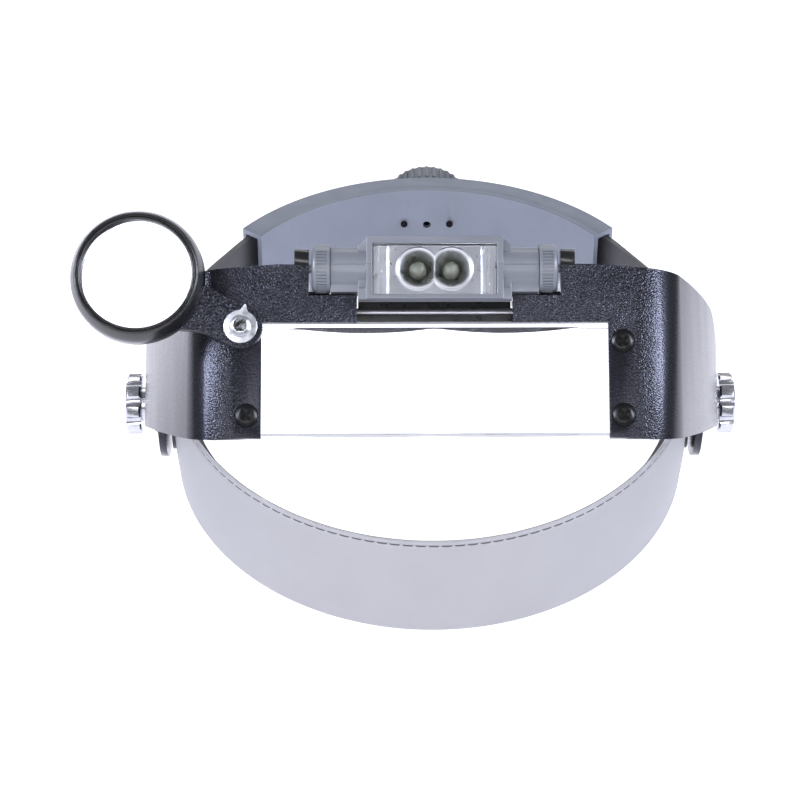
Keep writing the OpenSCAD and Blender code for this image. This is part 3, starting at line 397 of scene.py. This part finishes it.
def rounded(node, mat, width):
    """The CAD node's own shape as clean faces, with its sharp edges rounded off."""
    merge, flat = 2e-6, math.radians(0.6)
    me = NODES[node].data.copy()
    bm = bmesh.new()
    bm.from_mesh(me)
    bmesh.ops.remove_doubles(bm, verts=bm.verts, dist=merge)
    bmesh.ops.dissolve_limit(bm, angle_limit=flat, verts=bm.verts, edges=bm.edges)
    bmesh.ops.recalc_face_normals(bm, faces=bm.faces)
    bm.to_mesh(me)
    bm.free()
    smooth(me)
    o = new_object(node + "_shape", me, mat, body_of(node), node)
    if width:
        bevel(o, width)
    return o


def mesh_of(bm, name):
    me = bpy.data.meshes.new(name)
    bm.to_mesh(me)
    bm.free()
    smooth(me)
    return me


def join_rings(bm, one, two):
    """A band of faces between two closed rings of vertices."""
    n = len(one)
    return [bm.faces.new((one[j], one[(j + 1) % n], two[(j + 1) % n], two[j])) for j in range(n)]


def sweep(bm, rings):
    """Adds a closed bar whose sections are the rings, each a list of points."""
    rings = [[bm.verts.new(p) for p in ring] for ring in rings]
    faces = [face for one, two in zip(rings, rings[1:]) for face in join_rings(bm, one, two)]
    faces += [bm.faces.new(rings[0][::-1]), bm.faces.new(rings[-1])]
    bmesh.ops.recalc_face_normals(bm, faces=faces)


def swept_mesh(name, rings):
    bm = bmesh.new()
    sweep(bm, rings)
    return mesh_of(bm, name)


# ---------------------------------------------------------------- forehead pad
# the forehead curve: half axes, mean radius and half angle; then the band's height
PAD_A, PAD_B, PAD_R, PAD_END = 80.65, 87.85, 83.0, 84.0
BAND_H = 35.0
STITCH = 3.9
# the groove under the upper piping: how far it lies below the top and outside the curve
SEAM_DROP, SEAM_OUT = 1.55, 0.86


def pad_point(t, out, z):
    """A point of the forehead curve at angle t, pushed outwards, at height z; all in mm."""
    s, c = math.sin(t), math.cos(t)
    n = Vector((s / PAD_A, -c / PAD_B))
    n.normalize()
    return Vector((PAD_A * s + n.x * out, -PAD_B * c + n.y * out, z)) * MM


def pad_out(p):
    """Millimetres that a point lies outside the forehead curve."""
    k = math.hypot(p.x / PAD_A, p.y / PAD_B) / MM
    return (1 - 1 / k) * math.hypot(p.x, p.y) / MM


def pad_angles(steps):
    """Angles from one end of the pad to the other, each with its share of the half length."""
    for i in range(steps + 1):
        share = 2 * i / steps - 1
        yield math.radians(PAD_END) * share, abs(share)


def crown(steps):
    """From -1 to 1 across the pad, each with how full the crown is there, 0 to 1."""
    for i in range(steps + 1):
        s = -1 + 2 * i / steps
        yield s, 1 - s * s


def cover_profile():
    """The cover's section as (outward, height): rolled edge, crown, seam and thin piping."""
    base, swell, margin = 1.55, 0.8, 3.6
    lower = [(0.0, 0.6), (0.2, 0.15), (0.6, 0.0), (1.1, 0.08), (1.4, 0.4),
             (1.46, 0.8), (1.4, 1.1), (1.34, 1.3), (1.38, 1.6), (1.5, 2.2)]
    middle = [(base + swell * full ** 0.8, BAND_H / 2 + s * (BAND_H / 2 - margin))
              for s, full in crown(16)]
    # counted down from the top
    upper = [(1.56, 3.2), (1.5, 2.6), (1.36, 2.1), (1.1, 1.75), (0.86, 1.5),
             (0.92, 1.3), (1.22, 1.12), (1.42, 0.85), (1.46, 0.55), (1.34, 0.22),
             (1.05, 0.04), (0.7, 0), (0.4, 0.02), (0.12, 0.12), (0.0, 0.5)]
    return lower + middle + [(out, BAND_H - drop) for out, drop in upper]


def make_cover():
    # the ends are pulled in, and each stitch puckers the cloth beside the seam
    tuck_from, tuck_depth = 0.985, 0.55
    pucker, pucker_drop, pucker_reach = 0.05, 2.6, 0.9
    profile = cover_profile()
    rings = []
    for t, share in pad_angles(260):
        pull = 1 - tuck_depth * max(0, (share - tuck_from) / (1 - tuck_from)) ** 2
        lift = pucker * math.cos(t * PAD_R / STITCH * 2 * math.pi)
        rings.append([
            pad_point(t, out * pull
                      + lift * math.exp(-((BAND_H - z - pucker_drop) / pucker_reach) ** 2), z)
            for out, z in profile])
    o = new_object("pad_cover", swept_mesh("pad_cover", rings), "pad", "headband",
                   "forehead_cover", slot="pad_cover")
    # a thin dark line runs along the cover's top inner edge, in the strap's grey
    dark_line_drop, dark_line_out = 0.6, 0.45
    paint(o, "strap",
          lambda c, n: c.z > (BAND_H - dark_line_drop) * MM and pad_out(c) < dark_line_out)


def make_stitches():
    """Running stitches sunk in the seam under the upper piping."""
    length, thick, flatten, dip, end_gap = STITCH * 0.94, 0.27, 1.2, 0.3, 1.5
    sections, sides = 9, 8
    end = math.radians(PAD_END - end_gap)
    count = int(2 * end * PAD_R / STITCH)
    bm = bmesh.new()
    for i in range(count):
        middle = -end + (i + 0.5) * 2 * end / count
        rings = []
        for k in range(sections):
            u = 2 * k / (sections - 1) - 1
            # the thread thins out and dives into the cloth at each end
            r = thick * math.sqrt(max(0.02, 1 - u ** 6))
            out = SEAM_OUT + 0.1 - dip * u ** 6
            turns = [2 * math.pi * j / sides for j in range(sides)]
            rings.append([pad_point(middle + length / 2 / PAD_R * u, out + r * math.cos(a),
                                    BAND_H - SEAM_DROP + r * flatten * math.sin(a))
                          for a in turns])
        sweep(bm, rings)
    new_object("pad_stitches", mesh_of(bm, "pad_stitches"), "stitch", "headband",
               slot="pad_cover")


def make_foam():
    """Sweat foam inside the strip: crowned, with rolled edges."""
    edge, back, thick, swell, margin = 6.0, -1.3, 3.6, 0.65, 1.9
    thin_from, thin_depth = 0.97, 0.5
    # the rolled edge as (outward, distance from the foam's own edge)
    roll = [(-1.9, 0.02), (-2.6, 0.1), (-3.2, 0.5), (-3.5, 1.1)]
    profile = [(-1.45, edge + 0.3), (-1.45, BAND_H - edge - 0.3)]
    profile += [(out, BAND_H - edge - drop) for out, drop in roll]
    profile += [(-thick - swell * full, BAND_H / 2 - s * (BAND_H / 2 - edge - margin))
                for s, full in crown(14)]
    profile += [(out, edge + drop) for out, drop in reversed(roll)]
    rings = []
    for t, share in pad_angles(200):
        thin = 1 - thin_depth * max(0, (share - thin_from) / (1 - thin_from)) ** 2
        rings.append([pad_point(t, back + (out - back) * thin, z) for out, z in profile])
    o = new_object("pad_foam", swept_mesh("pad_foam", rings), "foam", "headband",
                   "forehead_foam", slot="sweat_foam")


make_cover()
make_stitches()
make_foam()


# ---------------------------------------------------------------- rigid pieces
# each CAD node's material, and the rounding of its edges in mm
ROUNDED = {
    "band_strip": ("strap", 0.25),
    "temple_plate_left": ("strap", 0.5), "temple_plate_right": ("strap", 0.5),
    "friction_washer_left": ("strap", 0.2), "friction_washer_right": ("strap", 0.2),
    "knob_washer_left": ("black", 0.2), "knob_washer_right": ("black", 0.2),
    "pivot_bolt_left": ("steel", 0.2), "pivot_bolt_right": ("steel", 0.2),
    "temple_knob_left": ("chrome", 0.45), "temple_knob_right": ("chrome", 0.45),
    "strap_left": ("strap", 0.3), "strap_right": ("strap", 0.3),
    "rear_inner_cover": ("housing", 0.4), "rear_outer_cover": ("housing", 0.7),
    "cover_screws": ("dull_screw", 0.15), "pinion": ("black", 0.05),
    "adjuster_knob": ("knob_grey", 0.25), "knob_screw": ("black_screw", 0.15),
    "visor_shell": ("visor", 0.9), "lens_crossbar": ("black", 0.35),
    "lens_clamp_left": ("black", 0.3), "lens_clamp_right": ("black", 0.3),
    "lens_screws": ("black_screw", 0.15),
    "flip_arm_left": ("black", 0.3), "flip_arm_right": ("black", 0.3),
    "flip_axle": ("axle", 0.1),
    "loupe_ring": ("loupe", 0.5), "loupe_retainer": ("black", 0.2),
    "loupe_screw": ("zinc", 0.2), "loupe_washer": ("zinc", 0.12),
    "loupe_spacer": ("zinc", 0.12), "loupe_nut": ("steel", 0.2),
    "lamp_top_shell": ("lamp", 0.45), "lamp_bottom_shell": ("lamp", 0.45),
    "led_left": ("led", 0.1), "led_right": ("led", 0.1),
    "lamp_board": ("board", 0.1), "button_cells": ("steel", 0.3),
    "lamp_contacts": ("brass", 0.1),
    "lamp_cap_left": ("lamp", 0.08), "lamp_cap_right": ("lamp", 0.08),
    "cap_spring_left": ("steel", 0.1), "cap_spring_right": ("steel", 0.1),
    "main_lens": ("lens", 0.25), "flip_lens": ("lens", 0.25),
    "loupe_lens": ("loupe_glass", 0.0), "lamp_window": ("window", 0.15),
}
SHAPES = {node: rounded(node, mat, width) for node, (mat, width) in ROUNDED.items()}


def free_the_pinion():
    """Makes the pinion a little smaller round its axis, for play between the teeth."""
    axis_z, shrink = 20.5 * MM, 0.975
    for v in SHAPES["pinion"].data.vertices:
        v.co.x *= shrink
        v.co.z = axis_z + (v.co.z - axis_z) * shrink


def paint_lens_edges():
    """The cut edges: painted shade on top and at the sides, painted light below; steepness sets
    where they start.
    """
    for node, steep in (("main_lens", 0.8), ("flip_lens", 0.97)):
        # painted shade on the top and side cut faces, painted light on the bottom ones
        paint(SHAPES[node], "ground", lambda c, n: n.dot(UPWARD) > steep or abs(n.x) > 0.95)
        paint(SHAPES[node], "lens_edge_lit", lambda c, n: n.dot(UPWARD) < -0.9)


def paint_rear_housing():
    """The side towards the head gets a paler grey as painted light, and the inner cover's rounded
    edge a light grey as a painted highlight line.
    """
    for node in ("rear_inner_cover", "rear_outer_cover"):
        # painted light on the faces towards the head
        paint(SHAPES[node], "housing_lit_side", lambda c, n: n.y < -0.5)
    inner = SHAPES["rear_inner_cover"]
    # painted highlight on the inner cover's rounded edge
    inner.modifiers["bevel"].material = add_material(inner, "housing_edge_highlight")


def paint_screw_recess():
    """The cross recess in the loupe screw's head gets a plain pale grey instead of the plating:
    painted light in the recess.
    """
    recess_r, shallow, deep = 1.9, 0.25, 2.5
    screw = SHAPES["loupe_screw"]
    head = max(v.co.dot(AHEAD) for v in screw.data.vertices)
    paint(screw, "recess",
          lambda c, n: shallow < (head - c.dot(AHEAD)) / MM < deep
          and off_axis(c, LOUPE_SCREW_X, LOUPE_SCREW_U) < recess_r)


def paint_glossy_parts():
    """The loupe's ring is glossy, unlike its arm, and so are the lugs that hold the lamp."""
    ring_r, lug_in, lug_out, lug_low = 19.3, 36.0, 40.3, -3
    paint(SHAPES["loupe_ring"], "loupe_gloss",
          lambda c, n: off_axis(c, LOUPE_X, LOUPE_U) < ring_r)
    lamp_mid = lamp_point(0, 0, 0)
    paint(SHAPES["visor_shell"], "loupe_gloss",
          lambda c, n: lug_in < abs(c.x) / MM < lug_out
          and (c - lamp_mid).dot(UPWARD) > lug_low * MM)


def add_rim_lines():
    """Two fine raised rings on the front of the loupe's rim, part of its retaining ring."""
    around, across, half = 120, 14, 0.2
    me = SHAPES["loupe_retainer"].data
    bm = bmesh.new()
    bm.from_mesh(me)
    # each ring's radius, and how far it lies ahead of the lamp's axis
    for radius, f in ((17.25, 13.05), (16.15, 12.75)):
        rings = []
        for a in (2 * math.pi * i / around for i in range(around)):
            ring = []
            for b in (2 * math.pi * j / across for j in range(across)):
                r = radius + half * math.cos(b)
                ring.append(bm.verts.new(lamp_point(LOUPE_X + r * math.cos(a),
                                                    f + half * math.sin(b),
                                                    LOUPE_U + r * math.sin(a))))
            rings.append(ring)
        for one, two in zip(rings, rings[1:] + rings[:1]):
            for face in join_rings(bm, one, two):
                face.smooth = True
    bmesh.ops.recalc_face_normals(bm, faces=bm.faces)
    bm.to_mesh(me)
    bm.free()


free_the_pinion()
paint_lens_edges()
paint_rear_housing()
paint_screw_recess()
paint_glossy_parts()
add_rim_lines()


# ---------------------------------------------------------------- reflector
# the plate's reach across and up, its level, and the raised middle
PLATE_X, PLATE_LOW, PLATE_TOP = 17.5, -8.65, 5.8
PLATE_F, STEP, STEP_X, STEP_RUN = 4.2, 0.3, 13.6, 0.4
RIDGES, RIDGE_H, RIDGE_W = (14.3, 15.6, 16.5), 0.07, 0.16
RIM_H, RIM_W = 0.4, 0.35
MOUTH_F, CUP_DEPTH = 4.9, 3.9
SKIN = 0.5


def cup_distance(x, u):
    """Millimetres from the nearer cup's middle."""
    return math.hypot(abs(x) - CUP_X, u - CUP_U)


def reflector_height(x, u):
    f = PLATE_F + STEP * min(1, max(0, (STEP_X - abs(x)) / STEP_RUN))
    f += sum(RIDGE_H * math.exp(-((abs(x) - line) / RIDGE_W) ** 2) for line in RIDGES)
    r = cup_distance(x, u)
    f += RIM_H * math.exp(-((r - CUP_R - RIM_W) / RIM_W) ** 2)
    if r < CUP_R:
        f = min(f, MOUTH_F - CUP_DEPTH * min(1, (CUP_R - r) / (CUP_R - LED_R)))
    return f


def make_reflector():
    """Twin-cup reflector as one moulded skin: plate, side ridges, raised rims and two cones."""
    columns, rows, overlap = 200, 84, 0.15
    xs = [-PLATE_X + 2 * PLATE_X * i / columns for i in range(columns + 1)]
    us = [PLATE_LOW + (PLATE_TOP - PLATE_LOW) * j / rows for j in range(rows + 1)]
    bm = bmesh.new()
    grid = [[bm.verts.new(lamp_point(x, reflector_height(x, u), u)) for x in xs] for u in us]
    for j in range(rows):
        for i in range(columns):
            x, u = (xs[i] + xs[i + 1]) / 2, (us[j] + us[j + 1]) / 2
            # each cup is open where its diode comes through
            if cup_distance(x, u) > LED_R - overlap:
                bm.faces.new((grid[j][i], grid[j][i + 1], grid[j + 1][i + 1], grid[j + 1][i]))
    o = new_object("reflector_skin", mesh_of(bm, "reflector_skin"), "mirror",
                   body_of("lamp_reflector"), "lamp_reflector")
    thickness = o.modifiers.new("thickness", "SOLIDIFY")
    thickness.thickness, thickness.offset = SKIN * MM, -1


make_reflector()


# ---------------------------------------------------------------- floor, lamps and world
FLOOR_HALF = 0.8
# low enough for the visor to swing down past the band
FLOOR_Z = -0.062
WHITE = (1, 1, 1, 1)
COOL = (0.84, 0.88, 1)


def floor_material():
    """A pale floor: white to the camera but for its shadow, and bright in gloss and glass."""
    mat = bpy.data.materials.new("floor_white")
    mat.use_nodes = True
    mat.node_tree.nodes.clear()
    t = Tree(mat.node_tree)
    pale = t.add("BsdfDiffuse", {"Color": (0.80, 0.80, 0.80, 1)}).outputs[0]
    glow = t.add("Emission", {"Color": WHITE, "Strength": 0.62}).outputs[0]
    bright = t.add("Emission", {"Color": (0.88, 0.89, 1.0, 1), "Strength": 1.95}).outputs[0]
    lifted = t.add("AddShader", {0: pale, 1: glow}).outputs[0]
    ray = t.add("LightPath").outputs
    plain = t.mix(ray["Is Camera Ray"], pale, lifted)
    in_gloss = t.calc("MAXIMUM", ray["Is Glossy Ray"], ray["Is Transmission Ray"])
    t.add("OutputMaterial", {"Surface": t.mix(in_gloss, plain, bright)})
    return mat


def make_floor():
    bm = bmesh.new()
    bmesh.ops.create_grid(bm, x_segments=1, y_segments=1, size=FLOOR_HALF)
    me = bpy.data.meshes.new("floor")
    bm.to_mesh(me)
    bm.free()
    me.materials.append(floor_material())
    floor = bpy.data.objects.new("floor", me)
    floor.location.z = FLOOR_Z
    bpy.context.scene.collection.objects.link(floor)


def make_world():
    """Soft light from all round: white to the camera and through glass, dim in gloss."""
    world = bpy.data.worlds.new("studio")
    bpy.context.scene.world = world
    world.use_nodes = True
    world.node_tree.nodes.clear()
    t = Tree(world.node_tree)
    lit = t.add("Background", {"Color": (0.97, 0.98, 1.0, 1), "Strength": 0.4}).outputs[0]
    dim = t.add("Background", {"Color": (0.9, 0.93, 1, 1), "Strength": 0.3}).outputs[0]
    white = t.add("Background", {"Color": WHITE, "Strength": 1.0}).outputs[0]
    ray = t.add("LightPath").outputs
    around = t.mix(ray["Is Glossy Ray"], lit, dim)
    in_view = t.calc("MAXIMUM", ray["Is Camera Ray"], ray["Is Transmission Ray"])
    t.add("OutputWorld", {"Surface": t.mix(in_view, around, white)})


def area(name, where, aim, size, power, color=(1, 1, 1), diffuse=True, gloss=True):
    """A rectangular lamp; places and sizes in metres, power in watts."""
    light = bpy.data.lights.new(name, "AREA")
    light.shape = "RECTANGLE"
    light.size, light.size_y = size
    light.energy = power
    light.color = color
    o = bpy.data.objects.new(name, light)
    o.location = where
    o.rotation_mode = "QUATERNION"
    o.rotation_quaternion = (Vector(aim) - Vector(where)).to_track_quat("-Z", "Y")
    o.visible_diffuse = diffuse
    o.visible_glossy = gloss
    bpy.context.scene.collection.objects.link(o)


def make_lamps():
    area("front", (-0.15, -1.17, 0.82), (0, 0, 0.05), (1.2, 0.6), 10)
    area("back", (0, 1.2, 0.7), (0, 0, 0.05), (1.2, 0.5), 5)
    # on each side, a strip that shows only as a highlight and a fill that never does
    for side, fill in ((-1, 1.3), (1, 1.9)):
        area("strip", (side * 0.9, -0.35, 0.78), (0, -0.03, 0.07), (0.4, 0.6), 27, COOL,
             diffuse=False)
        area("side", (side * 0.8, -0.05, 0.26), (0, 0, 0.03), (0.6, 0.45), fill, COOL,
             gloss=False)


make_floor()
make_world()
make_lamps()

bpy.context.view_layer.update()
